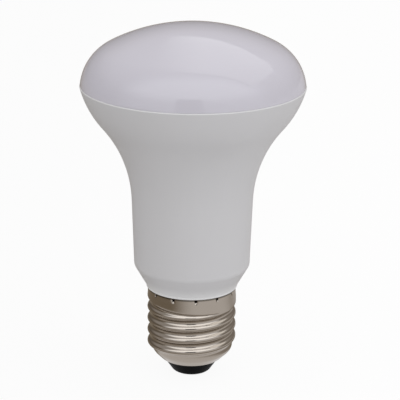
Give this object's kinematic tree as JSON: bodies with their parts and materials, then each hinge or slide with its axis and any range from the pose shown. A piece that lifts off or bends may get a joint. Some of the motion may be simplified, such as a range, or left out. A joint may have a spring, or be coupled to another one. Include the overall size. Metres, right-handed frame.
{
  "type": "reflector lamp bulb",
  "caption": "Screw-cap reflector lamp with a flared white plastic housing, a low opal dome and a threaded metal cap with an insulated centre contact.",
  "frame": {"origin": "on the lamp's axis, at the lowest face of the centre contact", "axes": "+Z along the axis from the contact to the dome; the picture looks along +Y and down, with +X to the right"},
  "size_m": [0.0646, 0.0646, 0.1053],
  "materials": {
    "opal": "glossy opal, faintly lavender",
    "white_plastic": "fine matte white",
    "nickel": "nickel-plated sheet, bright, slightly warm",
    "black_glaze": "glossy black",
    "contact_metal": "plated, smooth"
  },
  "bodies": {
    "root": {"diffuser_dome": "opal", "housing": "white_plastic", "screw_shell": "nickel", "insulator": "black_glaze", "centre_contact": "contact_metal"}
  },
  "joints": []
}
